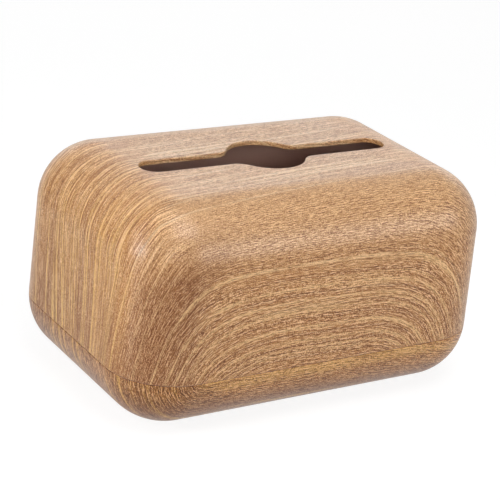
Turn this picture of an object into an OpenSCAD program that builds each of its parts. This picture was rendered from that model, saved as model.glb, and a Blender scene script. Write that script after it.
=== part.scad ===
// Tissue box cover: a drafted, full-radius shell with a finger-hole slot in its
// roof, lifted off a shallow base tray that stands on four grip pads.
// Origin on the table under the middle of the box, +X along the slot, +Z up.

/* [Body] */
// Length of the box where it is widest
box_l = 202; // [180:1:240]
// Width of the box where it is widest
box_w = 136; // [120:1:170]
// Height of the box without its pads
box_h = 110; // [95:1:150]
// Wall thickness of the cover and the tray
wall = 2.3; // [1.9:0.1:3.2]
// How far the side walls lean in between the lower and the upper edge
wall_lean = 1.3; // [0.4:0.1:3]
// Radius of the edge round the roof
top_r = 30; // [18:1:34]
// Radius of the edge round the underside
bottom_r = 30; // [18:1:34]
// How much fuller the upright corners are than the edges
corner_land = 0.2; // [0.2:0.1:6]

/* [Seam] */
// Height of the seam above the underside
seam_h = 29.3; // [22:0.1:45]
// Height of the tongue that stands up from the tray
tongue_h = 5; // [3:0.5:10]
// Thickness of the tongue
tongue_t = 1.1; // [0.8:0.1:1.3]
// Sideways clearance between the tongue and the cover
tongue_clear = 0.2; // [0.1:0.05:0.3]
// Clearance above the tongue
tongue_gap = 0.5; // [0.3:0.1:1.5]
// Chamfer that leads the cover over the tongue
lead_in = 0.4; // [0.2:0.1:0.6]
// Chamfer on both outer edges of the seam
seam_break = 0.3; // [0.1:0.05:0.5]

/* [Slot] */
// Length of the slot from end to end
slot_l = 138.8; // [110:0.2:144]
// Width of the slot
slot_w = 14.8; // [10:0.2:20]
// Diameter of the finger hole in the middle of the slot
finger_d = 38.8; // [30:0.2:50]
// Radius that blends the finger hole into the slot
blend_r = 8.4; // [4:0.2:12]
// Chamfer on the upper edge of the slot
slot_break = 0.4; // [0.2:0.1:1]

/* [Pads] */
// Diameter of a grip pad
pad_d = 14; // [10:1:18]
// Thickness of a grip pad
pad_t = 1.8; // [1.4:0.1:3]
// Depth of the recess that a pad is stuck into
pad_recess = 0.8; // [0.4:0.1:1.2]
// Clearance round a pad in its recess
pad_clear = 0.3; // [0.2:0.1:0.6]
// Distance from a recess to the edge of the flat underside
pad_margin = 4; // [2:1:10]
// Chamfer on the lower edge of a pad
pad_break = 0.4; // [0.2:0.1:0.6]

/* [Hidden] */
$fn = 96;
// Overrun of a cut, and overlap where two round forms would only touch
overrun = 1;
weld = 0.001;

// Gap between the table and the underside
stand_h = pad_t - pad_recess;

// Upright corners and the centres of the two edge radii, measured outwards from
// the axis of a corner. A section that is moved inwards keeps both centres.
corner_r = corner_land + max(bottom_r, top_r + wall_lean);
bottom_c = [corner_r - bottom_r, bottom_r];
top_c = [corner_r - wall_lean - top_r, box_h - top_r];

// Angle of the side wall's face, which touches both edge radii
draft = angle_of(top_c - bottom_c) - acos((bottom_r - top_r) / norm(top_c - bottom_c));

// Straight runs between the upright corners
core_l = box_l - 2 * corner_r;
core_w = box_w - 2 * corner_r;

// How far the tongue and the rebate lie inside the outer surface
tongue_inset = wall - tongue_t;
rebate_inset = tongue_inset - tongue_clear;

// Centres of the slot's round ends and of its blend radii
slot_run = (slot_l - slot_w) / 2;
blend_y = slot_w / 2 + blend_r;
blend_x = sqrt(pow(finger_d / 2 + blend_r, 2) - pow(blend_y, 2));

// Centre of a pad
pad_reach = pad_margin + pad_clear + pad_d / 2;
pad_x = core_l / 2 + bottom_c.x - pad_reach;
pad_y = core_w / 2 + bottom_c.x - pad_reach;

function polar(r, a) = [r * cos(a), r * sin(a)];
function angle_of(v) = atan2(v.y, v.x);

// Outward reach of the side wall at height z, inset from the outer surface
function wall_at(z, inset) =
    bottom_c.x + (bottom_r - inset) / cos(draft) - (z - bottom_r) * tan(draft);

// Half section of the body, moved inwards by inset. The flat of the side wall is
// let into the two edge discs by weld, so that they cross and don't just touch.
module section(inset) {
    low_r = bottom_r - inset;
    high_r = top_r - inset;
    intersection() {
        union() {
            polygon([
                [0, inset], [bottom_c.x, inset], bottom_c + polar(low_r - weld, draft),
                top_c + polar(high_r - weld, draft), [top_c.x, box_h - inset], [0, box_h - inset]
            ]);
            translate(bottom_c) circle(r = low_r);
            translate(top_c) circle(r = high_r);
        }
        translate([0, -overrun]) square([corner_r + overrun, box_h + 2 * overrun]);
    }
}

// Everything in a section below height z
module below(z) {
    translate([-overrun, -overrun]) square([corner_r + 2 * overrun, z + overrun]);
}

// Square set on its corner, which cuts a chamfer of the given size
module chamfer_cut(x, z, size) {
    translate([x, z]) rotate(45) square(sqrt(2) * size, center = true);
}

module seam_chamfer() {
    chamfer_cut(wall_at(seam_h, 0), seam_h, seam_break);
}

// Sweeps a half section round the rounded rectangle of the plan
module around() {
    for (mx = [0, 1], my = [0, 1])
        mirror([mx, 0, 0]) mirror([0, my, 0])
            translate([core_l / 2, core_w / 2, 0]) rotate_extrude(angle = 90) children();
    for (m = [0, 1]) {
        mirror([m, 0, 0]) translate([core_l / 2, 0, 0])
            rotate([90, 0, 0]) linear_extrude(core_w, center = true) children();
        mirror([0, m, 0]) translate([0, core_w / 2, 0])
            rotate([90, 0, 90]) linear_extrude(core_l, center = true) children();
    }
}

// Flat plate that closes the middle of the plan
module plate(z) {
    translate([-core_l / 2, -core_w / 2, z]) cube([core_l, core_w, wall]);
}

module cover_section() {
    difference() {
        section(0);
        section(wall);
        below(seam_h);
        intersection() {
            section(rebate_inset);
            below(seam_h + tongue_h + tongue_gap);
        }
        seam_chamfer();
    }
}

module tray_section() {
    difference() {
        union() {
            intersection() {
                section(0);
                below(seam_h);
            }
            intersection() {
                section(tongue_inset);
                below(seam_h + tongue_h);
            }
        }
        section(wall);
        seam_chamfer();
        chamfer_cut(wall_at(seam_h + tongue_h, tongue_inset), seam_h + tongue_h, lead_in);
    }
}

// Region between the finger hole, the slot and one blend radius
module blend_corner() {
    polygon([[0, 0], [blend_x, 0], [blend_x, blend_y]]);
}

module slot_outline() {
    circle(d = finger_d);
    square([2 * slot_run, slot_w], center = true);
    for (mx = [0, 1]) mirror([mx, 0]) {
        translate([slot_run, 0]) circle(d = slot_w);
        for (my = [0, 1]) mirror([0, my]) difference() {
            blend_corner();
            translate([blend_x, blend_y]) circle(r = blend_r + weld);
        }
    }
}

// Opening that widens at 45 degrees from the slot's outline over height h
module slot_flare(h) {
    cylinder(h = h, r1 = finger_d / 2, r2 = finger_d / 2 + h);
    rotate([90, 0, 90]) linear_extrude(2 * slot_run, center = true)
        polygon([[-slot_w / 2, 0], [slot_w / 2, 0], [slot_w / 2 + h, h], [-slot_w / 2 - h, h]]);
    for (mx = [0, 1]) mirror([mx, 0, 0]) {
        translate([slot_run, 0, 0]) cylinder(h = h, r1 = slot_w / 2, r2 = slot_w / 2 + h);
        for (my = [0, 1]) mirror([0, my, 0]) difference() {
            linear_extrude(h) blend_corner();
            translate([blend_x, blend_y, -overrun])
                cylinder(h = h + 2 * overrun, r1 = blend_r + weld + overrun,
                         r2 = blend_r + weld - h - overrun);
        }
    }
}

module cover() {
    color("#c29560") translate([0, 0, stand_h]) difference() {
        union() {
            around() cover_section();
            plate(box_h - wall);
        }
        translate([0, 0, box_h / 2]) linear_extrude(box_h) slot_outline();
        translate([0, 0, box_h - slot_break]) slot_flare(2 * slot_break);
    }
}

module base_tray() {
    color("#b5854f") translate([0, 0, stand_h]) difference() {
        union() {
            around() tray_section();
            plate(0);
        }
        for (sx = [-1, 1], sy = [-1, 1])
            translate([sx * pad_x, sy * pad_y, -overrun])
                cylinder(h = pad_recess + overrun, d = pad_d + 2 * pad_clear);
    }
}

module foot_pad(sx, sy) {
    color("#4a3a30") translate([sx * pad_x, sy * pad_y, 0]) {
        cylinder(h = pad_break, d1 = pad_d - 2 * pad_break, d2 = pad_d);
        translate([0, 0, pad_break]) cylinder(h = pad_t - pad_break, d = pad_d);
    }
}

cover();
base_tray();
foot_pad(-1, -1);  // foot_pad_front_left
foot_pad(1, -1);  // foot_pad_front_right
foot_pad(-1, 1);  // foot_pad_back_left
foot_pad(1, 1);  // foot_pad_back_right
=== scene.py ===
# Tissue box cover in a wood-grain print: the two mouldings and their grip pads,
# their finishes, a plain studio and the camera. Lengths are in millimetres and
# become metres where a mesh is made, or a lamp or the camera is placed.
import math

import bmesh
import bpy
from mathutils import Matrix, Vector


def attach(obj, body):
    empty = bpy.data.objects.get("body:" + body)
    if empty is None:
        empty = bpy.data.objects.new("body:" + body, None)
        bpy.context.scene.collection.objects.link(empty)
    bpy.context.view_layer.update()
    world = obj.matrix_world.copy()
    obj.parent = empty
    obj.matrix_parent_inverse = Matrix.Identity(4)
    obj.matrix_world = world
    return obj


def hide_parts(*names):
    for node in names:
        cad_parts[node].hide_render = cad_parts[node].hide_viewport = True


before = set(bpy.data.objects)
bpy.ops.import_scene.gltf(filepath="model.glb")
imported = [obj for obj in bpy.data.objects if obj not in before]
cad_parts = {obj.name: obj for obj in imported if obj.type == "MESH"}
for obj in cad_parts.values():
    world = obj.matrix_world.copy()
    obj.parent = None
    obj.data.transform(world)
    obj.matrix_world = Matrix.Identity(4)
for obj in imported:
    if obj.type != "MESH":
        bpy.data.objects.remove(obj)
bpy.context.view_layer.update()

MM = 0.001

# Body, as in the part's source
BOX_L, BOX_W, BOX_H = 202.0, 136.0, 110.0
WALL, WALL_LEAN = 2.3, 1.3
EDGE_R, CORNER_LAND = 30.0, 0.2

# Grip pads and the recesses that they are stuck into
PAD_R, PAD_T = 7.0, 1.8
PAD_MARGIN, PAD_CLEAR = 4.0, 0.3
RECESS_R, RECESS_H = PAD_R + PAD_CLEAR, 0.8

# Half core rectangle of the plan, and the centres of the section's two edge radii,
# as out from that rectangle and up from the table
CORNER_R = CORNER_LAND + EDGE_R + WALL_LEAN
CORE_X, CORE_Y = BOX_L / 2 - CORNER_R, BOX_W / 2 - CORNER_R
FLOOR_Z = PAD_T - RECESS_H
ROOF_Z = FLOOR_Z + BOX_H
LOW_OUT, LOW_Z = CORNER_R - EDGE_R, FLOOR_Z + EDGE_R
HIGH_OUT, HIGH_Z = LOW_OUT - WALL_LEAN, ROOF_Z - EDGE_R
DRAFT = math.atan((LOW_OUT - HIGH_OUT) / (HIGH_Z - LOW_Z))

PAD_REACH = PAD_MARGIN + RECESS_R
PAD_X, PAD_Y = CORE_X + LOW_OUT - PAD_REACH, CORE_Y + LOW_OUT - PAD_REACH

# Seam: its height above the underside, its rounded lips and the gap from it to each of
# them, the tongue of the tray and the rebate of the cover
SEAM_H = 29.3
SEAM_Z = FLOOR_Z + SEAM_H
SEAM_ROUND, SEAM_GAP = 0.35, 0.11
TONGUE_H, TONGUE_T, LEAD_IN = 5.0, 1.1, 0.4
TONGUE_CLEAR, TONGUE_GAP = 0.2, 0.5
TONGUE_IN = WALL - TONGUE_T
REBATE_H, REBATE_IN = TONGUE_H + TONGUE_GAP, TONGUE_IN - TONGUE_CLEAR

# Slot in the roof, with the rounding of its upper edge and the break of its lower one
SLOT_L, SLOT_W, FINGER_D, BLEND_R = 138.8, 14.8, 38.8, 8.4
SLOT_R, FINGER_R = SLOT_W / 2, FINGER_D / 2
SLOT_RUN = SLOT_L / 2 - SLOT_R
BLEND_Y = SLOT_R + BLEND_R
BLEND_X = math.sqrt((FINGER_R + BLEND_R) ** 2 - BLEND_Y ** 2)
SLOT_ROUND, SLOT_UNDER = 0.45, 0.2

# Material slots of a moulding
WOOD, PLAIN = 0, 1


# Node writing
class Value:
    """A number that changes over a surface, so that its sums read as formulas."""

    def __init__(self, tree, socket):
        self.tree, self.socket = tree, socket

    def op(self, kind, *others):
        node = self.tree.nodes.new("ShaderNodeMath")
        node.operation = kind
        for slot, item in zip(node.inputs, (self,) + others):
            feed(self.tree, slot, item)
        return Value(self.tree, node.outputs[0])

    def __add__(self, other):
        return self.op("ADD", other)

    def __radd__(self, other):
        return self.op("ADD", other)

    def __sub__(self, other):
        return self.op("SUBTRACT", other)

    def __rsub__(self, other):
        return (self * -1).op("ADD", other)

    def __mul__(self, other):
        return self.op("MULTIPLY", other)

    def __rmul__(self, other):
        return self.op("MULTIPLY", other)

    def __truediv__(self, other):
        return self.op("DIVIDE", other)

    def __pow__(self, other):
        return self.op("POWER", other)

    def size(self):
        return self.op("ABSOLUTE")

    def at_least(self, other):
        return self.op("MAXIMUM", other)

    def at_most(self, other):
        return self.op("MINIMUM", other)

    def within(self, reach):
        return self.at_least(-reach).at_most(reach)

    def over(self, other):
        return self.op("GREATER_THAN", other)

    def under(self, other):
        return self.op("LESS_THAN", other)

    def ramp(self, start, end, low=0.0, high=1.0):
        """Goes smoothly from low to high while the value goes from start to end."""
        node = self.tree.nodes.new("ShaderNodeMapRange")
        node.interpolation_type = "SMOOTHSTEP"
        for slot, item in zip(node.inputs, (self, start, end, low, high)):
            feed(self.tree, slot, item)
        return Value(self.tree, node.outputs[0])


def feed(tree, slot, item):
    """Links a value or a socket to an input, or sets the input to a constant."""
    if isinstance(item, Value):
        tree.links.new(item.socket, slot)
    elif isinstance(item, bpy.types.NodeSocket):
        tree.links.new(item, slot)
    else:
        slot.default_value = item


def mixed(low, high, amount):
    """Value that lies from low to high as the amount goes from 0 to 1."""
    return low + (high - low) * amount


def norm(a, b, square):
    """Length of the vector (a, b) whose lines are circles for 2 and near squares for more."""
    return (a ** square + b ** square) ** (1 / square)


def noise(tree, place, size, across=None, detail=2.0, rough=0.5, warp=0.0):
    """Noise whose lumps are about size mm; with across it also changes along that value."""
    node = tree.nodes.new("ShaderNodeTexNoise")
    node.noise_dimensions = "3D" if across is None else "4D"
    feed(tree, node.inputs["Vector"], place)
    if across is not None:
        feed(tree, node.inputs["W"], across * size)
    for name, number in (("Scale", 1 / size), ("Detail", detail),
                         ("Roughness", rough), ("Distortion", warp)):
        node.inputs[name].default_value = number
    return Value(tree, node.outputs[0])


def swing(tree, place, size, across=None, detail=2.0, rough=0.5, warp=0.0):
    """The same noise, above and below 0."""
    return noise(tree, place, size, across, detail, rough, warp) - 0.5


# A Mix node's colour sockets, which share their names with its number sockets
MIX_LOW, MIX_HIGH, MIX_RESULT = 6, 7, 2


def blend(tree, amount, low, high, kind="MIX"):
    node = tree.nodes.new("ShaderNodeMix")
    node.data_type, node.blend_type = "RGBA", kind
    feed(tree, node.inputs["Factor"], amount)
    feed(tree, node.inputs[MIX_LOW], low)
    feed(tree, node.inputs[MIX_HIGH], high)
    return node.outputs[MIX_RESULT]


def new_group(name, inputs, outputs):
    """Node group with its sockets; returns the tree, its inputs and its output node."""
    tree = bpy.data.node_groups.new(name, "ShaderNodeTree")
    for label, kind, start in inputs:
        socket = tree.interface.new_socket(name=label, in_out="INPUT", socket_type="NodeSocket" + kind)
        if start is not None:
            socket.default_value = start
    for label, kind in outputs:
        tree.interface.new_socket(name=label, in_out="OUTPUT", socket_type="NodeSocket" + kind)
    source = tree.nodes.new("NodeGroupInput")
    given = {s.name: Value(tree, s) for s in source.outputs if s.name}
    return tree, given, tree.nodes.new("NodeGroupOutput")


def put_out(tree, out, **values):
    for label, item in values.items():
        feed(tree, out.inputs[label], item)


def place_group(tree, group, **values):
    """Uses a node group; an input's name is written with _ for its spaces."""
    node = tree.nodes.new("ShaderNodeGroup")
    node.node_tree = group
    for label, item in values.items():
        feed(tree, node.inputs[label.replace("_", " ")], item)
    return {s.name: Value(tree, s) for s in node.outputs}


def srgb(red, green, blue):
    """Colour as it is read off a swatch, 0 to 255, for a shader."""
    def line(c):
        c /= 255
        return c / 12.92 if c <= 0.04045 else ((c + 0.055) / 1.055) ** 2.4
    return (line(red), line(green), line(blue), 1.0)


# Least reach past the core rectangle that counts as being on an end
END_LEAST = 0.01


def surface_measure():
    """Where a point lies on the box: its place in mm, its run round the plan from
    the middle of a long side, and its run up the section from the underside."""
    tree, _, out = new_group("surface_measure", [], [
        ("Place", "Vector"), ("X", "Float"), ("Y", "Float"), ("Z", "Float"),
        ("Round", "Float"), ("Up", "Float")])
    where = tree.nodes.new("ShaderNodeTexCoord")
    mm = tree.nodes.new("ShaderNodeVectorMath")
    mm.operation = "SCALE"
    mm.inputs["Scale"].default_value = 1 / MM
    tree.links.new(where.outputs["Object"], mm.inputs[0])
    split = tree.nodes.new("ShaderNodeSeparateXYZ")
    tree.links.new(mm.outputs[0], split.inputs[0])
    x, y, z = (Value(tree, s) for s in split.outputs)
    past_x = (x.size() - CORE_X).at_least(0)
    past_y = (y.size() - CORE_Y).at_least(0)
    turn = past_x.op("ARCTAN2", past_y)
    on_end = (CORE_Y - y.size()).at_least(0) * past_x.over(END_LEAST)
    run = x.size().at_most(CORE_X) + turn * (EDGE_R + LOW_OUT) + on_end
    out_by = (past_x * past_x + past_y * past_y) ** 0.5
    high = (z - HIGH_Z).at_least(0).op("ARCTAN2", out_by)
    low = (z - LOW_Z).at_most(0).op("ARCTAN2", out_by)
    up = z.at_least(LOW_Z).at_most(HIGH_Z) - LOW_Z + (high + low) * EDGE_R + EDGE_R * math.pi / 2
    put_out(tree, out, Place=mm.outputs[0], X=x, Y=y, Z=z, Round=run, Up=up)
    return tree


# Noises of the print, each as its size along a line and across the lines, in mm
WAVER_LONG, WAVER = 14, 0.5
BAND_LONG, BAND_WIDE, BAND_DEPTH = 120, 15, 1.2
WIDE_LONG, WIDE_WIDE = 90, 2.4
FINE_LONG, FINE_WIDE = 110, 1.1
LINE_ROUGH = 0.4
WORN_LONG, WORN_WIDE = 16, 3
THREAD_LONG, THREAD_WIDE, THREAD_DEPTH = 14, 0.42, 4
DASH_LONG, DASH_WIDE, DASH_DEPTH = 2.6, 0.36, 5
GRIT_SIZE, GRIT_DEPTH = 0.42, 5

# Rows of dashes: their spacing and the length of a dash, in mm, and how far the rows
# wander out of step, in radians
NARROW_ROWS, MIDDLE_ROWS, BOLD_ROWS = (0.85, 2.0, 14), (1.2, 2.7, 15), (2.1, 5.5, 15)
ROW_STEP_LONG, ROW_BREAK_WIDE, ROW_BREAK = 4, 0.8, (0.38, 0.6)

# How growth noise becomes dark and pale lines, how dark they are, and where they wear thin
DARK_FROM, PALE_FROM, WORN_FROM = (0.42, 0.3), (0.55, 0.7), (0.3, 0.6)
CHOSEN_DARK, GROWTH_DARK, CHOSEN_PALE, WORN_LEFT = 0.8, 0.25, 0.85, 0.35
MIDDLE_TONE = 0.55
# Tints that Warm multiplies in: a yellower one above 0, and below 0 a grey-blue one that paints sheen
WARM_TINT, PAINTED_SHEEN_TINT = (1.0, 0.95, 0.54, 1.0), (0.94, 1.15, 1.7, 1.0)

# How much each kind of stroke counts, and how strokes become pores, flecks and height
ROWS_PART, DASHES_PART, GRIT_PART = 0.39, 0.46, 0.56
DASHES_LOST, THREADS_ALWAYS, THREADS_PLAIN = 0.8, 0.1, 0.3
STROKE_FULL, PORES_IN_DARK, PORES_LOST_PALE = 0.9, 0.3, 0.35
FLECKS_LOST_DARK, FLECKS_PLAIN = 0.6, 0.8
GRIT_HIGH, GROWTH_HIGH, PORE_DEEP, PORE_EDGE = 0.1, 0.2, 0.8, -0.5


def rows(tree, place, grain, spacing, length, drift):
    """Rows of dashes side by side along the grain."""
    step = noise(tree, place, length * ROW_STEP_LONG) * drift
    broken = noise(tree, place, length, grain / spacing * ROW_BREAK_WIDE, detail=0).ramp(*ROW_BREAK)
    return (grain * (2 * math.pi / spacing) + step).op("SINE") * broken


def print_strokes(tree, given, grain, lively, grit):
    """Pores above 0 and flecks below 0."""
    place, drawn = given["Place"], given["Drawn"]
    thread = swing(tree, place, THREAD_LONG, grain / THREAD_WIDE, detail=0) * THREAD_DEPTH
    dashes = swing(tree, place, DASH_LONG, grain / DASH_WIDE, detail=0) * DASH_DEPTH
    level_rows = rows(tree, place, grain, *NARROW_ROWS) + rows(tree, place, grain, *MIDDLE_ROWS)
    bold = rows(tree, place, grain, *BOLD_ROWS) * lively * given["Bold"]
    short = level_rows * ROWS_PART + dashes * DASHES_PART + bold
    threads_in = drawn * (1 - THREADS_ALWAYS) + THREADS_ALWAYS
    threads_left = lively * (1 - THREADS_PLAIN) + THREADS_PLAIN
    return short * (1 - drawn * DASHES_LOST) + thread * threads_in * threads_left + grit * GRIT_PART


def wood_print():
    """The printed grain, for lines given as a value in mm that is the same all along a
    line: pale growth lines, dark pores and light flecks between them. Drawn says how far
    the film is drawn out, which turns short dashes into long threads, and Plain how far
    it shows nothing but fine dashes. Shade is painted shade, and on the cover's shoulder
    also darker print. Warm makes the print yellower, partly its tone and partly painted to
    cancel the floor's pale reflection, and greyer, as a painted sheen, where it is below 0."""
    white = (1, 1, 1, 1)
    tree, given, out = new_group("wood_print", [
        ("Place", "Vector", None), ("Lines", "Float", 0.0),
        ("Chosen", "Float", 0.0), ("Shade", "Float", 0.0), ("Drawn", "Float", 0.0),
        ("Plain", "Float", 0.0), ("Bold", "Float", 0.3), ("Warm", "Float", 0.0),
        ("Pale", "Color", white), ("Tan", "Color", white), ("Brown", "Color", white),
        ("Ink", "Color", white), ("Fleck", "Color", white),
        ("Band Strength", "Float", 1.0), ("Line Strength", "Float", 1.0),
        ("Fine Lines", "Float", 0.0), ("Dash Strength", "Float", 1.0)],
        [("Color", "Color"), ("Height", "Float"), ("Pores", "Float")])
    place, chosen, shade, warm = given["Place"], given["Chosen"], given["Shade"], given["Warm"]
    lively = 1 - given["Plain"]
    grain = given["Lines"] + swing(tree, place, WAVER_LONG, detail=1) * WAVER
    band = swing(tree, place, BAND_LONG, grain / BAND_WIDE, detail=1) * BAND_DEPTH * given["Band Strength"]
    wide = noise(tree, place, WIDE_LONG, grain / WIDE_WIDE, detail=1, rough=LINE_ROUGH)
    fine = noise(tree, place, FINE_LONG, grain / FINE_WIDE, detail=1, rough=LINE_ROUGH)
    growth = mixed(wide, fine, given["Fine Lines"])
    grit = swing(tree, place, GRIT_SIZE, detail=0) * GRIT_DEPTH
    stroke = print_strokes(tree, given, grain, lively, grit)

    growth_dark = growth.ramp(*DARK_FROM) * given["Line Strength"] * lively * GROWTH_DARK
    dark = chosen.at_most(0).size() * CHOSEN_DARK + growth_dark
    # Shade darkens the tone here, and below it deepens the pores and thins the flecks: painted shade, and on
    # the cover's shoulder also darker print
    tone = ((band - dark) * lively - shade + MIDDLE_TONE).at_least(0).at_most(1)
    colour = blend(tree, tone, given["Brown"], given["Tan"])
    worn = noise(tree, place, WORN_LONG, grain / WORN_WIDE, detail=1).ramp(*WORN_FROM, WORN_LEFT, 1)
    growth_pale = growth.ramp(*PALE_FROM) * given["Line Strength"] * lively
    pale = growth_pale.at_least(chosen * worn * CHOSEN_PALE)
    colour = blend(tree, pale, colour, given["Pale"])
    # Warm above 0 yellows the print, partly its tone and partly painted to cancel the floor's pale reflection
    colour = blend(tree, warm.at_least(0), colour, WARM_TINT, "MULTIPLY")
    # Warm below 0 greys the print as a painted sheen
    colour = blend(tree, warm.at_most(0).size(), colour, PAINTED_SHEEN_TINT, "MULTIPLY")

    deep = (stroke + (dark + shade) * PORES_IN_DARK).ramp(0, STROKE_FULL)
    pores = deep * (1 - pale * PORES_LOST_PALE) * given["Dash Strength"]
    colour = blend(tree, pores, colour, given["Ink"])
    flecks = stroke.ramp(0, -STROKE_FULL) * given["Dash Strength"] * (1 - shade * FLECKS_LOST_DARK)
    flecks = flecks * (lively * (1 - FLECKS_PLAIN) + FLECKS_PLAIN)
    colour = blend(tree, flecks, colour, given["Fleck"])
    height = grit * GRIT_HIGH + growth * GROWTH_HIGH - stroke.ramp(PORE_EDGE, STROKE_FULL) * PORE_DEEP
    put_out(tree, out, Color=colour, Height=height, Pores=pores)
    return tree


# Sizes of the smears that hands and cloths leave, and of the finer unevenness in them
SMEAR_SIZE, SMEAR_WARP, SMEAR_ROUGH, SMUDGE_SIZE = 24, 0.6, 0.6, 2.2
LEAST_ROUGH = 0.05


def handled_sheen():
    """How a satin skin varies: faint smears from hands and cloths on top of a base roughness."""
    tree, given, out = new_group("handled_sheen", [
        ("Place", "Vector", None), ("Roughness", "Float", 0.4), ("Smears", "Float", 0.05)],
        [("Roughness", "Float")])
    smear = swing(tree, given["Place"], SMEAR_SIZE, detail=3, rough=SMEAR_ROUGH, warp=SMEAR_WARP)
    smudge = swing(tree, given["Place"], SMUDGE_SIZE)
    value = given["Roughness"] + (smear * 2 + smudge) * given["Smears"]
    put_out(tree, out, Roughness=value.at_least(LEAST_ROUGH).at_most(1))
    return tree


CLOUD_SIZE = 30


def spark_texture():
    """Fine even texture that an eroded mould leaves on plain plastic and rubber."""
    tree, given, out = new_group("spark_texture", [
        ("Place", "Vector", None), ("Size", "Float", 0.6), ("Mottle", "Float", 0.1),
        ("Base", "Color", (1, 1, 1, 1))],
        [("Color", "Color"), ("Height", "Float")])
    node = tree.nodes.new("ShaderNodeTexNoise")
    feed(tree, node.inputs["Vector"], given["Place"])
    feed(tree, node.inputs["Scale"], given["Size"] ** -1.0)
    node.inputs["Detail"].default_value = 2
    grainy = Value(tree, node.outputs[0])
    cloud = swing(tree, given["Place"], CLOUD_SIZE, detail=3)
    lift = 1 + (cloud + grainy - 0.5) * given["Mottle"] * 2
    shade = tree.nodes.new("ShaderNodeCombineXYZ")
    for slot in shade.inputs:
        feed(tree, slot, lift)
    colour = blend(tree, 1.0, given["Base"], shade.outputs[0], "MULTIPLY")
    put_out(tree, out, Color=colour, Height=grainy)
    return tree


MEASURE, PRINT, SHEEN, SPARK = surface_measure(), wood_print(), handled_sheen(), spark_texture()

# Lines of the cover, in mm. They run along the roof and down both ends, and make
# nested arches on the two long sides, which stand on a centre below the seam.
ARCH_FOOT, ARCH_FULL, ARCH_REACH = -35.7, 181.0, 68.0
LEFT_REACH, LEFT_POWER = 57.7, 1.25
RIGHT_REACH, RIGHT_POWER = 47.0, 1.03
ARCH_SQUARE, CORNER_SQUARE = 3.76, 3.0
SIDE_BLEND = 8.0
ROOF_SLANT = 0.12
END_DRIFT, DRIFT_TOP, DRIFT_TALL = 13.0, 144, 98
RIM_LINES = 1.6
SWAY_SIZE, SWAY = 60, 3

# Growth lines that stand out, as line value, half width and strength: pale ones, and
# dark ones with a strength below 0
COVER_GROWTH = (
    (-131.2, 0.8, -0.8), (-130.0, 0.6, 0.5), (-128.5, 0.8, -0.6), (-127.4, 0.9, 0.9),
    (-125.8, 0.8, -0.6), (-123.6, 1.4, 0.7), (-120.3, 1.0, -0.6), (-117.0, 1.2, 1.0),
    (-112.5, 0.9, -0.4), (-109.5, 0.9, 0.8), (-107.4, 0.9, -0.5), (-104.3, 1.1, 0.9),
    (-101.0, 1.0, -0.6), (-98.2, 1.3, 1.0), (-93.0, 1.6, -0.4), (-87.4, 1.3, 1.0),
    (-84.8, 1.0, -0.6), (-44.8, 1.1, 0.6), (-37.4, 0.9, -0.4), (-35.3, 0.8, 0.5),
    (-31.8, 0.9, 0.8), (-28.4, 1.2, 0.8), (-24.0, 0.9, 0.7), (-17.5, 0.9, 0.6),
    (-10.4, 1.6, 0.8), (-6.2, 1.4, 0.8), (-3.4, 1.0, -0.7), (0.5, 0.8, -0.5),
    (4.2, 0.9, 1.0), (6.5, 1.1, 1.0), (9.2, 0.9, -0.5), (18.6, 1.3, 0.7),
    (25.0, 0.9, 0.6), (33.2, 1.4, 0.6))

# Zones of the cover. Each comes in while a run, in mm, goes from the first number to
# the second: ROUND the plan from the middle of a long side, or UP the section from the
# underside. The crest is the turn from a long side to the roof, the brow is its upper
# part and the foot is the lower part of a long side. The shoulder is a band of darker
# print by the left corners, deepened by painted shade; the corner is painted shade.
SLANT_UP, SLANT_ROUND, DRIFT_ROUND = (95, 140), (CORE_X, 119), (110, 150)
END_ROUND, LOW_END_UP = (95, 118), (95, 50)
ROOF_UP, ROOF_END_X = (140, 146), (48, CORE_X)
CREST_UP, CREST_TOP = (88, 104), (146, 136)
BROW_UP, BROW_TOP = (110, 128), (146, 138)
SHOULDER_AT, SHOULDER_FADE, SHOULDER_ROUND = 79.0, (22.0, 0), (45, 85)
CORNER_AT, CORNER_FADE, CORNER_UP = 87, (24, 8), (108, 90)
DRAWN_ROUND, DRAWN_STOP, PLAIN_ROUND = (40, 85), (150, 115), (105, 70)
FOOT_UP, BOLD_UP, FINE_ROUND = (85, 60), (95, 70), (62, 95)
# Where the print turns yellower, partly its tone and partly painted to cancel the floor's pale reflection,
# and where painted sheen greys it
WARM_ROUND, WARM_UP, COOL_UP = (98, 122), (140, 90), (92, 112)

# What the zones do to the print: its shades are painted shade, on the shoulder also darker
# print, and the brow's light is painted light
SHOULDER_SHADE, CORNER_PAINTED_SHADE, EDGE_SHADE = 0.4, 0.45, 0.7
LOW_END_PAINTED_SHADE, ROOF_PAINTED_SHADE, BROW_PAINTED_LIGHT, FOOT_PAINTED_SHADE = 0.4, 0.15, 0.15, 0.08
ARC_DRAWN, END_DRAWN, CREST_PLAIN = 0.8, 0.5, 0.9
SIDE_LINES, END_LINES, ROOF_LINES = 0.44, 0.54, 0.46
DASHES, END_DASHES, CREST_DASHES = 0.9, 0.2, 0.04
ALL_BOLD, SIDE_BOLD = 0.1, 0.25
# These amounts grey the print along the crest as a painted sheen, less on the roof
COOL, ROOF_COOL = 0.8, 0.3


def growth_lines(value, chosen):
    """How strongly the chosen growth lines show: 1 in a full pale one, -1 in a dark one."""
    total = value * 0
    for centre, half_width, strength in chosen:
        total = total + (value - centre).size().ramp(half_width, 0) * strength
    return total.within(1)


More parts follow.
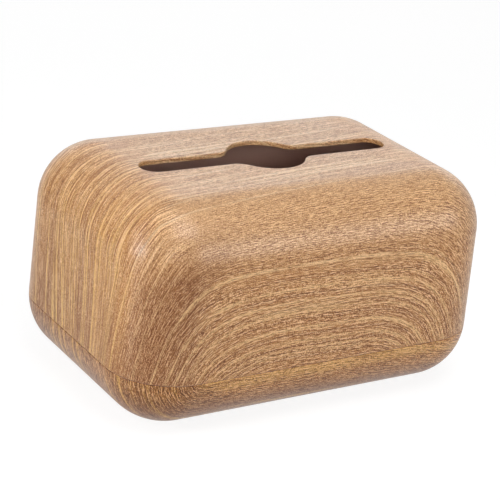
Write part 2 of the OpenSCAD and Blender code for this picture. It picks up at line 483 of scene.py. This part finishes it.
def cover_line_value(tree, m, left):
    x, y, run, up = m["X"], m["Y"], m["Round"], m["Up"]
    front = (y * (-1 / SIDE_BLEND)).within(1)
    side = (run / mixed(RIGHT_REACH, LEFT_REACH, left)) ** mixed(RIGHT_POWER, LEFT_POWER, left)
    arch = norm(side * ARCH_REACH, (up - ARCH_FOOT).at_least(0), ARCH_SQUARE)
    arch = norm((ARCH_FULL - arch).at_least(0), (y.size() - CORE_Y).at_least(0), CORNER_SQUARE)
    slant = x.within(CORE_X) * up.ramp(*SLANT_UP).at_least(run.ramp(*SLANT_ROUND)) * -ROOF_SLANT
    drift = (DRIFT_TOP - up) * run.ramp(*DRIFT_ROUND) * (END_DRIFT / DRIFT_TALL)
    sway = swing(tree, m["Place"], SWAY_SIZE, detail=1) * SWAY
    on_core = (1 - y.size().over(CORE_Y)) * (1 - x.size().over(CORE_X))
    rim = (ROOF_Z - m["Z"]) * on_core * RIM_LINES
    return y.within(CORE_Y) - front * arch + slant + drift + sway + rim


def cover_lines(tree, m):
    x, run, up = m["X"], m["Round"], m["Up"]
    left = (x * (m["Y"] * (-1 / SIDE_BLEND)).within(1)).under(0.0)
    value = cover_line_value(tree, m, left)

    on_end, on_roof = run.ramp(*END_ROUND), up.ramp(*ROOF_UP)
    on_side = 1 - on_end
    past = on_end.at_least(x.size().ramp(*ROOF_END_X) * on_roof)
    crest = up.ramp(*CREST_UP) * up.ramp(*CREST_TOP)
    drawn = crest * run.ramp(*DRAWN_ROUND) * run.ramp(*DRAWN_STOP) * left
    shoulder = (value.size() - SHOULDER_AT).size().ramp(*SHOULDER_FADE) * left * run.ramp(*SHOULDER_ROUND)
    corner = (run - CORNER_AT).size().ramp(*CORNER_FADE) * up.ramp(*CORNER_UP) * left
    low_end_painted_shade = on_end * up.ramp(*LOW_END_UP)
    brow = up.ramp(*BROW_UP) * up.ramp(*BROW_TOP) * on_side
    foot = up.ramp(*FOOT_UP) * on_side
    # Painted shade on the shoulder, the corner, the ends low down, the roof and the foot of the long sides,
    # and painted light on the brow
    edges = (shoulder * SHOULDER_SHADE + corner * CORNER_PAINTED_SHADE).at_most(EDGE_SHADE)
    # Painted sheen: a greyer print along the crest, less on the roof
    painted_sheen = up.ramp(*COOL_UP) * (1 - past) * (COOL - on_roof * ROOF_COOL)
    return {
        "Lines": value,
        "Chosen": growth_lines(value, COVER_GROWTH),
        "Shade": edges + low_end_painted_shade * LOW_END_PAINTED_SHADE + on_roof * ROOF_PAINTED_SHADE - brow * BROW_PAINTED_LIGHT + foot * FOOT_PAINTED_SHADE,
        "Drawn": (drawn * ARC_DRAWN).at_least(past * END_DRAWN),
        "Plain": crest * run.ramp(*PLAIN_ROUND) * CREST_PLAIN,
        "Line_Strength": past * END_LINES + on_roof * ROOF_LINES + SIDE_LINES,
        "Fine_Lines": run.ramp(*FINE_ROUND).at_least(past),
        "Dash_Strength": DASHES - past * END_DASHES + crest * (on_end * END_DASHES - CREST_DASHES),
        "Bold": up.ramp(*BOLD_UP) * on_side * SIDE_BOLD + ALL_BOLD,
        # Yellower at the ends, partly print tone and partly painted to cancel the floor's pale reflection;
        # greyer as painted sheen on the crest
        "Warm": run.ramp(*WARM_ROUND) * up.ramp(*WARM_UP) - painted_sheen}


# Lines of the tray, in mm: level with a slight crown along the long sides, and
# turning up round the left corners. TRAY_TOP is the run up the section at the seam.
TRAY_TOP, TRAY_LEVEL, TRAY_FROM = 46.4, 8.0, 200
TRAY_TURN, TRAY_SQUARE = 62.0, 2.3
TRAY_CROWN, CROWN_ROUND = 0.0017, 100

# Zones of the tray, as for the cover, and what they do to the print. The tray's shades are
# painted shade, darker towards the bottom and at the left end
TRAY_LOW_UP, TRAY_LOW_LIFT, TRAY_LOW_ROUND = (42, 26), 4, (0, 60)
TRAY_DARK_ROUND = (40, 75)
TRAY_LINE_UP, TRAY_LINE_ROUND, TRAY_LINE = (39, 43), (75, 45), 0.6
TRAY_LOW_PAINTED_SHADE, TRAY_END_PAINTED_SHADE, TRAY_PAINTED_SHADE_MOST = 0.65, 0.4, 0.85
TRAY_LINES, TRAY_BOLD, TRAY_DASHES, TRAY_LOW_DASHES = 0.7, 0.25, 1.05, 0.3
# The tray's print is yellower, more so towards the bottom and at the left end: partly its tone, partly
# painted to cancel the floor's pale reflection
TRAY_WARM, TRAY_DARK_WARM, TRAY_LOW_WARM = 0.15, 0.8, 0.45


def tray_lines(tree, m):
    run, up = m["Round"], m["Up"]
    left = m["X"].under(0.0)
    right = 1 - left
    past = (run - TRAY_TURN).at_least(0) * left
    curl = norm(past, (TRAY_TOP - up + TRAY_LEVEL).at_least(0), TRAY_SQUARE)
    crown = run.at_most(CROWN_ROUND) ** 2.0 * TRAY_CROWN * right
    sway = swing(tree, m["Place"], SWAY_SIZE, detail=1) * SWAY
    # Painted shade: darker towards the bottom and at the left end
    low = (up + run.ramp(*TRAY_LOW_ROUND) * right * TRAY_LOW_LIFT).ramp(*TRAY_LOW_UP)
    darker = run.ramp(*TRAY_DARK_ROUND) * left
    return {
        "Lines": curl - crown + TRAY_FROM + sway,
        "Chosen": up.ramp(*TRAY_LINE_UP) * run.ramp(*TRAY_LINE_ROUND) * TRAY_LINE,
        "Shade": (low * TRAY_LOW_PAINTED_SHADE + darker * TRAY_END_PAINTED_SHADE).at_most(TRAY_PAINTED_SHADE_MOST),
        "Line_Strength": TRAY_LINES,
        "Dash_Strength": TRAY_DASHES - low * TRAY_LOW_DASHES,
        "Bold": TRAY_BOLD,
        "Warm": darker * TRAY_DARK_WARM + low * TRAY_LOW_WARM + TRAY_WARM}


# Finishes
COVER_TINTS = {"Pale": srgb(232, 192, 136), "Tan": srgb(200, 142, 81), "Brown": srgb(155, 102, 55),
               "Ink": srgb(98, 47, 10), "Fleck": srgb(240, 200, 155)}
TRAY_TINTS = {"Pale": srgb(226, 178, 104), "Tan": srgb(206, 139, 68), "Brown": srgb(138, 84, 36),
              "Ink": srgb(84, 40, 5), "Fleck": srgb(230, 184, 132)}
COVER_BANDS, TRAY_BANDS = 0.7, 0.6
SATIN, SATIN_SMEARS, PORE_DULL, PRINT_DEPTH = 0.33, 0.07, 0.12, 0.0025
PLAIN_SMEARS, PLAIN_MOTTLE = 0.05, 0.12


def new_material(name):
    mat = bpy.data.materials.new(name)
    mat.use_nodes = True
    tree = mat.node_tree
    tree.nodes.clear()
    shader = tree.nodes.new("ShaderNodeBsdfPrincipled")
    output = tree.nodes.new("ShaderNodeOutputMaterial")
    tree.links.new(shader.outputs[0], output.inputs["Surface"])
    return mat, tree, shader


def relief(tree, shader, height, depth):
    bump = tree.nodes.new("ShaderNodeBump")
    bump.inputs["Strength"].default_value = 1.0
    bump.inputs["Distance"].default_value = depth * MM
    feed(tree, bump.inputs["Height"], height)
    tree.links.new(bump.outputs[0], shader.inputs["Normal"])


def wood_material(name, lines, tints, bands):
    mat, tree, shader = new_material(name)
    m = place_group(tree, MEASURE)
    printed = place_group(tree, PRINT, Place=m["Place"], Band_Strength=bands, **tints, **lines(tree, m))
    sheen = place_group(tree, SHEEN, Place=m["Place"], Roughness=SATIN, Smears=SATIN_SMEARS)
    feed(tree, shader.inputs["Base Color"], printed["Color"])
    feed(tree, shader.inputs["Roughness"], sheen["Roughness"] + printed["Pores"] * PORE_DULL)
    shader.inputs["IOR"].default_value = 1.5
    relief(tree, shader, printed["Height"], PRINT_DEPTH)
    return mat


def plain_material(name, colour, roughness, size, depth):
    mat, tree, shader = new_material(name)
    m = place_group(tree, MEASURE)
    spark = place_group(tree, SPARK, Place=m["Place"], Size=size, Mottle=PLAIN_MOTTLE, Base=colour)
    sheen = place_group(tree, SHEEN, Place=m["Place"], Roughness=roughness, Smears=PLAIN_SMEARS)
    feed(tree, shader.inputs["Base Color"], spark["Color"])
    feed(tree, shader.inputs["Roughness"], sheen["Roughness"])
    relief(tree, shader, spark["Height"], depth)
    return mat


COVER_WOOD = wood_material("cover_wood_print", cover_lines, COVER_TINTS, COVER_BANDS)
TRAY_WOOD = wood_material("tray_wood_print", tray_lines, TRAY_TINTS, TRAY_BANDS)
INSIDE = plain_material("inside_brown_plastic", srgb(194, 157, 142), roughness=0.5, size=0.5, depth=0.03)
RUBBER = plain_material("pad_rubber", srgb(58, 46, 40), roughness=0.7, size=0.35, depth=0.04)

# Segments: of a ring's corner and short side, of the slot's straight, blend and finger
# hole, of the arcs and straights of a section, and of a circle
CORNER_STEPS, SHORT_STEPS = 20, 10
SLOT_STEPS, BLEND_STEPS, FINGER_STEPS = 8, 8, 28
ROOF_ARC_STEPS, FLOOR_ARC_STEPS, COVER_INNER_STEPS, TRAY_INNER_STEPS = 30, 28, 18, 22
WALL_STEPS, INNER_WALL_STEPS, LIP_STEPS, RIM_STEPS, RIM_ARC_STEPS = 6, 4, 3, 3, 5
CIRCLE_STEPS, PAD_ARC_STEPS = 48, 4

# Rings that keep the shading even beside a bend: their distance from it, and the rise
# of the one beside the tray's flat underside
SUPPORT, FLOOR_RISE = 0.45, 0.003

# Rings across the roof and its underside, as shares of the way from edge to edge
ROOF_SHARES, UNDER_SHARES = (0.03, 0.2, 0.4, 0.6, 0.8, 0.97), (0.03, 0.35, 0.7, 0.97)

# Rings in the slot's wall: above its lower edge, below its rounded upper edge, and
# halfway round its lower break
RIM_LOW, RIM_HIGH, UNDER_MIDDLE = 0.4, 0.1, 0.06

# Rings in the walls: above the seam, and above the centre of the lower edge radius
SEAM_RING, LOW_RING = 2.0, 0.6

# Angles, in degrees, at which the arc of a lip starts and past which an edge stays
# sharp, and the break along the inner edge of the tongue's tip
LIP_START, SHARP, TONGUE_BREAK = 20, 32, 0.12


# Rings and shells
def steps_between(a, b, n):
    return [a + (b - a) * i / n for i in range(n + 1)]


def arc(centre, radius, start, end, steps):
    """Points (out, z) of an arc of the section, angles in degrees, ends included."""
    points = []
    for angle in steps_between(start, end, steps):
        a = math.radians(angle)
        points.append((centre[0] + radius * math.cos(a), centre[1] + radius * math.sin(a)))
    return points


def out_at(z, inset=0.0):
    """How far a wall face lies outside the core rectangle at height z."""
    radius = EDGE_R - inset
    if z < LOW_Z + radius * math.sin(DRAFT):
        return LOW_OUT + math.sqrt(radius ** 2 - (z - LOW_Z) ** 2)
    return LOW_OUT + radius / math.cos(DRAFT) - (z - LOW_Z) * math.tan(DRAFT)


def slot_side():
    """Front edge of the slot from left to right: points with the direction into the roof."""
    lean = math.degrees(math.atan2(BLEND_Y, BLEND_X))
    run = [-SLOT_RUN, -SLOT_RUN + SUPPORT] + steps_between(-SLOT_RUN, -BLEND_X, SLOT_STEPS)[1:-1]
    left = [((x, -SLOT_R), (0.0, -1.0)) for x in run]
    for angle in steps_between(90, lean, BLEND_STEPS)[:-1]:
        c, s = math.cos(math.radians(angle)), math.sin(math.radians(angle))
        left.append(((-BLEND_X + BLEND_R * c, -BLEND_Y + BLEND_R * s), (-c, -s)))
    middle = []
    for angle in steps_between(180 + lean, 360 - lean, FINGER_STEPS):
        c, s = math.cos(math.radians(angle)), math.sin(math.radians(angle))
        middle.append(((FINGER_R * c, FINGER_R * s), (c, s)))
    right = [((-p[0], p[1]), (-n[0], n[1])) for p, n in reversed(left)]
    return left + middle + right


# Places of a ring's points along a long and a short side, as shares of half its core
SLOT_SIDE = slot_side()
LONG_SHARES = [p[0] / SLOT_RUN for p, _ in SLOT_SIDE]
SHORT_EDGE = 1 - SUPPORT / CORE_Y
SHORT_SHARES = [-1, -SHORT_EDGE] + steps_between(-1, 1, SHORT_STEPS)[1:-1] + [SHORT_EDGE, 1]
END_STEPS = 2 * CORNER_STEPS + len(SHORT_SHARES) - 1


def plan_ring(out, z):
    """Ring round the plan, anticlockwise from the left end of the front side."""
    corner = [math.pi / 2 * i / CORNER_STEPS for i in range(1, CORNER_STEPS)]
    half = [(CORE_X * f, -CORE_Y - out) for f in LONG_SHARES]
    half += [(CORE_X + out * math.sin(a), -CORE_Y - out * math.cos(a)) for a in corner]
    half += [(CORE_X + out, CORE_Y * f) for f in SHORT_SHARES]
    half += [(CORE_X + out * math.cos(a), CORE_Y + out * math.sin(a)) for a in corner]
    return [(x, y, z) for x, y in half] + [(-x, -y, z) for x, y in half]


def plan_rings(section):
    return [plan_ring(out, z) for out, z in section]


def slot_ring(out, z):
    """Ring round the slot with as many points as a ring round the plan."""
    half = [(p[0] + n[0] * out, p[1] + n[1] * out) for p, n in SLOT_SIDE]
    radius = SLOT_R + out
    for i in range(1, END_STEPS):
        a = math.pi * i / END_STEPS - math.pi / 2
        half.append((SLOT_RUN + radius * math.cos(a), radius * math.sin(a)))
    return [(x, y, z) for x, y in half] + [(-x, -y, z) for x, y in half]


def between(ring_a, ring_b, shares):
    """Rings part of the way from one ring to another."""
    return [[tuple(p + (q - p) * f for p, q in zip(a, b)) for a, b in zip(ring_a, ring_b)] for f in shares]


def skin_band(bm, lower, upper, material):
    """Quads between two rings of vertices."""
    for i in range(len(lower)):
        j = (i + 1) % len(lower)
        face = bm.faces.new((lower[i], lower[j], upper[j], upper[i]))
        face.material_index = material
        face.smooth = True


def lay_rings(bm, rings, materials):
    """Skins rings of points; materials holds one slot number for each band. With as many
    bands as rings the last one closes the shell."""
    laid = [[bm.verts.new(Vector(p) * MM) for p in ring] for ring in rings]
    for i, material in enumerate(materials):
        skin_band(bm, laid[i], laid[(i + 1) % len(laid)], material)
    return laid


def fill_flat(bm, loops, material):
    """Flat face inside a loop of vertices, round any loops within it."""
    edges = [bm.edges.get((loop[i], loop[(i + 1) % len(loop)])) for loop in loops for i in range(len(loop))]
    made = bmesh.ops.triangle_fill(bm, use_beauty=True, edges=edges)
    for item in made["geom"]:
        if isinstance(item, bmesh.types.BMFace):
            item.material_index = material


def circle_verts(bm, x, y, radius, z):
    turn = 2 * math.pi / CIRCLE_STEPS
    places = [(x + radius * math.cos(turn * i), y + radius * math.sin(turn * i)) for i in range(CIRCLE_STEPS)]
    return [bm.verts.new(Vector((px, py, z)) * MM) for px, py in places]


def new_object(name, bm, materials):
    mesh = bpy.data.meshes.new(name)
    bm.to_mesh(mesh)
    bm.free()
    for material in materials:
        mesh.materials.append(material)
    made = bpy.data.objects.new(name, mesh)
    bpy.context.scene.collection.objects.link(made)
    return made


def finish_piece(bm, name, body, nodes, materials):
    bmesh.ops.recalc_face_normals(bm, faces=bm.faces)
    for edge in bm.edges:
        if len(edge.link_faces) == 2 and edge.calc_face_angle(0) > math.radians(SHARP):
            edge.smooth = False
    piece = new_object(name, bm, materials)
    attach(piece, body)
    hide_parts(*nodes)


def slot_rim(under_z):
    """Rings up the slot's wall, from its broken lower edge to its rounded upper one."""
    rim = [slot_ring(SLOT_UNDER, under_z), slot_ring(UNDER_MIDDLE, under_z + UNDER_MIDDLE)]
    rim.append(slot_ring(0, under_z + SLOT_UNDER))
    heights = steps_between(under_z + RIM_LOW, ROOF_Z - SLOT_ROUND - RIM_HIGH, RIM_STEPS)
    rim += [slot_ring(0, z) for z in heights]
    for angle in steps_between(0, 90, RIM_ARC_STEPS):
        a = math.radians(angle)
        rim.append(slot_ring(SLOT_ROUND * (1 - math.cos(a)), ROOF_Z - SLOT_ROUND * (1 - math.sin(a))))
    return rim


def make_cover():
    low_z = SEAM_Z + SEAM_GAP
    tilt = math.degrees(DRAFT)
    outside = arc((HIGH_OUT, HIGH_Z), EDGE_R, 90, tilt, ROOF_ARC_STEPS)
    roof_edge = outside.pop(0)
    wall_top, wall_low = outside[-1][1], LOW_Z + EDGE_R * math.sin(DRAFT)
    heights = [wall_top - SUPPORT] + steps_between(wall_top, wall_low, WALL_STEPS)[1:] + [low_z + SEAM_ROUND]
    outside += [(out_at(z), z) for z in heights]
    lip = arc((out_at(low_z) - SEAM_ROUND, low_z + SEAM_ROUND), SEAM_ROUND, -LIP_START, -90, LIP_STEPS)
    rebate_top = SEAM_Z + REBATE_H
    rebate = [(out_at(z, REBATE_IN), z) for z in (low_z, SEAM_Z + SEAM_RING, rebate_top)]
    inner_top = HIGH_Z + (EDGE_R - WALL) * math.sin(DRAFT)
    inner = [(out_at(z, WALL), z) for z in steps_between(rebate_top, inner_top, INNER_WALL_STEPS)]
    inner += arc((HIGH_OUT, HIGH_Z), EDGE_R - WALL, tilt, 90, COVER_INNER_STEPS)[1:]

    under_z = ROOF_Z - WALL
    rim = slot_rim(under_z)
    edge = plan_ring(*roof_edge)
    roof = between(rim[-1], edge, ROOF_SHARES) + [edge]
    under = between(plan_ring(HIGH_OUT, under_z), rim[0], UNDER_SHARES)

    printed = rim + roof + plan_rings(outside + lip)
    rings = printed + plan_rings(rebate + inner) + under
    bm = bmesh.new()
    lay_rings(bm, rings, [WOOD] * (len(printed) - 1) + [PLAIN] * (len(rings) - len(printed) + 1))
    finish_piece(bm, "cover_moulding", "cover", ["cover"], [COVER_WOOD, INSIDE])


def make_tray():
    top_z = SEAM_Z - SEAM_GAP
    start = math.degrees(math.asin((top_z - SEAM_ROUND - LOW_Z) / EDGE_R))
    outside = arc((LOW_OUT, LOW_Z), EDGE_R, -90, start, FLOOR_ARC_STEPS)
    outside.insert(1, (outside[0][0] + SUPPORT, outside[0][1] + FLOOR_RISE))
    lip = arc((out_at(top_z) - SEAM_ROUND, top_z - SEAM_ROUND), SEAM_ROUND, LIP_START, 90, LIP_STEPS)
    tip = SEAM_Z + TONGUE_H
    tongue = [(out_at(z, TONGUE_IN), z) for z in (top_z, SEAM_Z + SEAM_RING, tip - LEAD_IN)]
    tongue += [(out_at(tip, TONGUE_IN) - LEAD_IN, tip), (out_at(tip, WALL) + TONGUE_BREAK, tip)]
    inside = [(out_at(z, WALL), z) for z in (tip - TONGUE_BREAK, SEAM_Z + SEAM_RING, LOW_Z + LOW_RING)]
    inside += arc((LOW_OUT, LOW_Z), EDGE_R - WALL, 0, -90, TRAY_INNER_STEPS)

    printed = outside + lip
    rings = plan_rings(printed + tongue + inside)
    bm = bmesh.new()
    laid = lay_rings(bm, rings, [WOOD] * (len(printed) - 1) + [PLAIN] * (len(rings) - len(printed)))
    fill_flat(bm, [laid[-1]], PLAIN)
    mouths = []
    for sx in (-1, 1):
        for sy in (-1, 1):
            mouth = circle_verts(bm, sx * PAD_X, sy * PAD_Y, RECESS_R, FLOOR_Z)
            roof = circle_verts(bm, sx * PAD_X, sy * PAD_Y, RECESS_R, FLOOR_Z + RECESS_H)
            skin_band(bm, mouth, roof, PLAIN)
            bm.faces.new(roof).material_index = PLAIN
            mouths.append(mouth)
    fill_flat(bm, [laid[0]] + mouths, PLAIN)
    finish_piece(bm, "tray_moulding", "base", ["base_tray"], [TRAY_WOOD, INSIDE])


# Pad's foot, as radius and height: flat from PAD_HUB to PAD_LAND but for two grooves,
# each given by its inner and outer radius
PAD_HUB, PAD_LAND, PAD_ROUND, PAD_BREAK = 0.6, 6.2, 0.4, 0.15
PAD_GROOVES, GROOVE_DEEP, GROOVE_SLOPE = ((2.3, 3.2), (4.6, 5.5)), 0.22, 0.15


def make_pad(name, sx, sy):
    """Rubber disc with two shallow rings in its foot, a rounded foot edge and a broken top edge."""
    foot = [(PAD_HUB, 0)]
    for inner, outer in PAD_GROOVES:
        foot += [(inner, 0), (inner + GROOVE_SLOPE, GROOVE_DEEP)]
        foot += [(outer - GROOVE_SLOPE, GROOVE_DEEP), (outer, 0)]
    foot.append((PAD_LAND, 0))
    side = arc((PAD_R - PAD_ROUND, PAD_ROUND), PAD_ROUND, -90, 0, PAD_ARC_STEPS)
    top = [(PAD_R, PAD_T - PAD_BREAK), (PAD_R - PAD_BREAK, PAD_T), (PAD_HUB, PAD_T)]
    bm = bmesh.new()
    loops = [circle_verts(bm, sx * PAD_X, sy * PAD_Y, radius, z) for radius, z in foot + side + top]
    for lower, upper in zip(loops, loops[1:]):
        skin_band(bm, lower, upper, 0)
    for loop in (loops[0], loops[-1]):
        bm.faces.new(loop)
    finish_piece(bm, "pad_" + name, "base", ["foot_pad_" + name], [RUBBER])


make_cover()
make_tray()
for depth, sy in (("front", -1), ("back", 1)):
    for side, sx in (("left", -1), ("right", 1)):
        make_pad(depth + "_" + side, sx, sy)

# Studio: the floor's half width, the colour that lights the box, the colour and glow
# that the camera sees, and the strengths of the room's light and of its white
FLOOR_HALF = 4000
FLOOR_TINT, FLOOR_SEEN, FLOOR_GLOW = (0.62, 0.61, 0.60, 1), (0.24, 0.24, 0.24, 1), 0.86
ROOM_LEVEL, ROOM_WHITE = 0.08, 1.0


def seen_ray(tree):
    """1 for what the camera sees, also by a reflection or through a clear thing."""
    path = tree.nodes.new("ShaderNodeLightPath")
    rays = [Value(tree, path.outputs["Is %s Ray" % kind]) for kind in ("Camera", "Glossy", "Transmission")]
    return rays[0].at_least(rays[1]).at_least(rays[2])


def pick_by_ray(tree, unseen, seen, output):
    """Puts out one shader for the rays that only light the scene, and one for those that are seen."""
    pick = tree.nodes.new("ShaderNodeMixShader")
    feed(tree, pick.inputs[0], seen_ray(tree))
    tree.links.new(unseen.outputs[0], pick.inputs[1])
    tree.links.new(seen.outputs[0], pick.inputs[2])
    tree.links.new(pick.outputs[0], tree.nodes.new(output).inputs["Surface"])


def make_floor():
    """Plain white floor. What the camera sees of it is lifted towards white and keeps the shadow."""
    mat = bpy.data.materials.new("floor_white")
    mat.use_nodes = True
    tree = mat.node_tree
    tree.nodes.clear()
    matt = tree.nodes.new("ShaderNodeBsdfDiffuse")
    matt.inputs["Color"].default_value = FLOOR_TINT
    seen = tree.nodes.new("ShaderNodeBsdfDiffuse")
    seen.inputs["Color"].default_value = FLOOR_SEEN
    glow = tree.nodes.new("ShaderNodeEmission")
    glow.inputs["Strength"].default_value = FLOOR_GLOW
    both = tree.nodes.new("ShaderNodeAddShader")
    tree.links.new(seen.outputs[0], both.inputs[0])
    tree.links.new(glow.outputs[0], both.inputs[1])
    pick_by_ray(tree, matt, both, "ShaderNodeOutputMaterial")
    bm = bmesh.new()
    bmesh.ops.create_grid(bm, x_segments=8, y_segments=8, size=FLOOR_HALF * MM)
    floor = new_object("floor", bm, [mat])


def make_world():
    world = bpy.data.worlds.new("studio")
    world.use_nodes = True
    tree = world.node_tree
    tree.nodes.clear()
    room = tree.nodes.new("ShaderNodeBackground")
    room.inputs["Strength"].default_value = ROOM_LEVEL
    seen = tree.nodes.new("ShaderNodeBackground")
    seen.inputs["Color"].default_value = (1, 1, 1, 1)
    seen.inputs["Strength"].default_value = ROOM_WHITE
    pick_by_ray(tree, room, seen, "ShaderNodeOutputWorld")
    bpy.context.scene.world = world


# Point near the middle of the box, at which lamps aim unless they say otherwise
BOX_MIDDLE = (0, 0, 55)


def away_from(azimuth, elevation):
    """Direction from the box, angles in radians; azimuth 0 is the front, positive to the right."""
    level = math.cos(elevation)
    return Vector((math.sin(azimuth) * level, -math.cos(azimuth) * level, math.sin(elevation)))


def soft_light(name, azimuth, elevation, distance, width, height, power,
               aim=BOX_MIDDLE, spread=180, mirrored=True):
    """Area light at a distance from the point that it is aimed at, its angles in degrees."""
    light = bpy.data.lights.new(name, "AREA")
    light.shape, light.size, light.size_y = "RECTANGLE", width * MM, height * MM
    light.energy, light.spread = power, math.radians(spread)
    lamp = bpy.data.objects.new(name, light)
    bpy.context.scene.collection.objects.link(lamp)
    away = away_from(math.radians(azimuth), math.radians(elevation))
    lamp.location = (Vector(aim) + away * distance) * MM
    lamp.rotation_euler = away.to_track_quat("Z", "Y").to_euler()
    lamp.visible_camera = False
    lamp.visible_glossy = mirrored


def make_lamps():
    soft_light("fill_front_right", 32, 20, distance=1100, width=620, height=420, power=2.98)
    soft_light("back_panel", 150, 22, distance=1000, width=1500, height=460, power=2.0)
    soft_light("overhead", 0, 88, distance=1000, width=560, height=420, power=1.63)
    soft_light("near_top", -8, 62, distance=480, width=340, height=210, power=1.04, aim=(0, -20, 90))
    soft_light("left_panel", -115, 35, distance=1100, width=600, height=500, power=1.35)
    soft_light("left_strip", -100, 24, distance=700, width=90, height=520, power=0.28)
    soft_light("left_spot", -95, 16, distance=700, width=110, height=130, power=1.55, aim=(-94, -49, 94))
    soft_light("left_wand", -93, 0, distance=80, width=8, height=122, power=0.012, aim=(-96, -51, 65))
    soft_light("slot_strip", -30, 18.9, distance=1100, width=700, height=70, power=0.36, aim=(0, 0, 111),
               spread=50, mirrored=False)


make_floor()
make_world()
make_lamps()

# Camera, fitted to the photograph: its angles in radians, its distance from a point on
# the box's axis, its focal length and centre in the photograph's pixels, and its sensor
CAMERA_AZIMUTH, CAMERA_ELEVATION, CAMERA_ROLL = -0.6009, 0.3899, 0.1125
CAMERA_DISTANCE, CAMERA_TARGET_Z = 872.85, 56.0
FOCAL_PX, CENTRE_PX, CENTRE_PY, IMAGE_PX = 1753.63, 253.985, 258.229, 500.0
SENSOR, NEAREST, FARTHEST = 36.0, 10, 50000


def make_camera():
    data = bpy.data.cameras.new("camera")
    data.sensor_width = SENSOR
    data.lens = FOCAL_PX / IMAGE_PX * data.sensor_width
    data.shift_x = (IMAGE_PX / 2 - CENTRE_PX) / IMAGE_PX
    data.shift_y = (CENTRE_PY - IMAGE_PX / 2) / IMAGE_PX
    data.clip_start, data.clip_end = NEAREST * MM, FARTHEST * MM
    camera = bpy.data.objects.new("camera", data)
    bpy.context.scene.collection.objects.link(camera)
    back = away_from(CAMERA_AZIMUTH, CAMERA_ELEVATION)
    right = (-back).cross(Vector((0, 0, 1))).normalized()
    up = right.cross(-back)
    c, s = math.cos(CAMERA_ROLL), math.sin(CAMERA_ROLL)
    turned = Matrix((c * right + s * up, c * up - s * right, back)).transposed().to_4x4()
    turned.translation = (Vector((0, 0, CAMERA_TARGET_Z)) + back * CAMERA_DISTANCE) * MM
    camera.matrix_world = turned
    bpy.context.scene.camera = camera


make_camera()
bpy.context.scene.view_settings.view_transform = "Standard"
